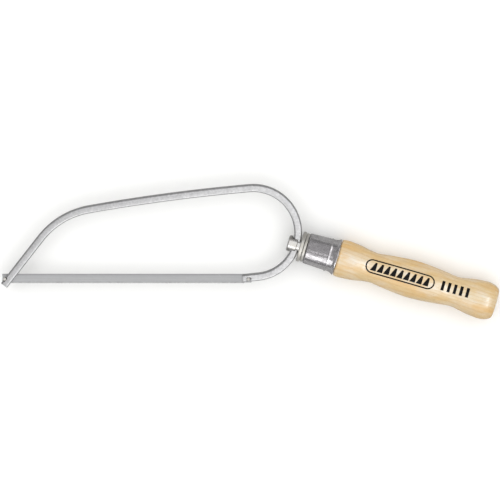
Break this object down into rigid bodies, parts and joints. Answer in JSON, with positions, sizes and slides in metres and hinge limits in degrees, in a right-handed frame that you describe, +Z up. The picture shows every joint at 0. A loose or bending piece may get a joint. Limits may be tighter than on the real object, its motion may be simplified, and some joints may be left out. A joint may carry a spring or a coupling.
{
  "type": "bow hacksaw",
  "caption": "Small hand saw: sprung steel bow holding a fine-toothed blade by cross pins, with a turned wooden handle clamped to the round back of the bow.",
  "frame": {"origin": "middle of the underside of the box round the whole saw as it lies on its side", "axes": "+X from the nose of the blade to the handle, +Y from the teeth to the back of the bow, +Z up, square to the plane of the bow"},
  "size_m": [0.299, 0.0814, 0.0229],
  "materials": {
    "plated_bow": "satin nickel plate over spring steel",
    "blade_steel": "ground, slightly darker along the back",
    "pin_steel": "plain drawn wire",
    "zinc_steel": "bright zinc plate",
    "ferrule_chrome": "bright nickel or chrome plate",
    "lacquered_wood": "clear lacquer on pale fine-grained hardwood"
  },
  "bodies": {
    "bow": {"bow_strip": "plated_bow"},
    "blade": {"saw_blade": "blade_steel", "front_blade_pin": "pin_steel", "rear_blade_pin": "pin_steel"},
    "clamp": {"clamp_stud": "zinc_steel"},
    "collar": {"front_washer": "zinc_steel", "back_washer": "zinc_steel"},
    "handle": {"ferrule": "ferrule_chrome", "handle_nut": "zinc_steel", "wood_handle": "lacquered_wood"}
  },
  "joints": [
    {"name": "blade_swing", "type": "hinge", "parent": "bow", "child": "blade", "pos_m": [-0.14716, -0.01631, 0.01145], "axis": [0, 0, 1], "range_deg": [-75, 0]},
    {"name": "handle_shift", "type": "hinge", "parent": "bow", "child": "clamp", "pos_m": [0.00245, 0.01159, 0.01145], "axis": [0, 0, 1], "range_deg": [-40, 60]},
    {"name": "clamp_travel", "type": "slide", "parent": "clamp", "child": "collar", "axis": [0.9588, -0.284, 0], "range_m": [0, 0.002]},
    {"name": "handle_turn", "type": "hinge", "parent": "collar", "child": "handle", "pos_m": [0.00245, 0.01159, 0.01145], "axis": [0.9588, -0.284, 0], "range_deg": [0, 720.5]}
  ],
  "couplings": [
    {"joint": "handle_turn", "follows": "clamp_travel", "rad_per_m": 6283.2}
  ]
}
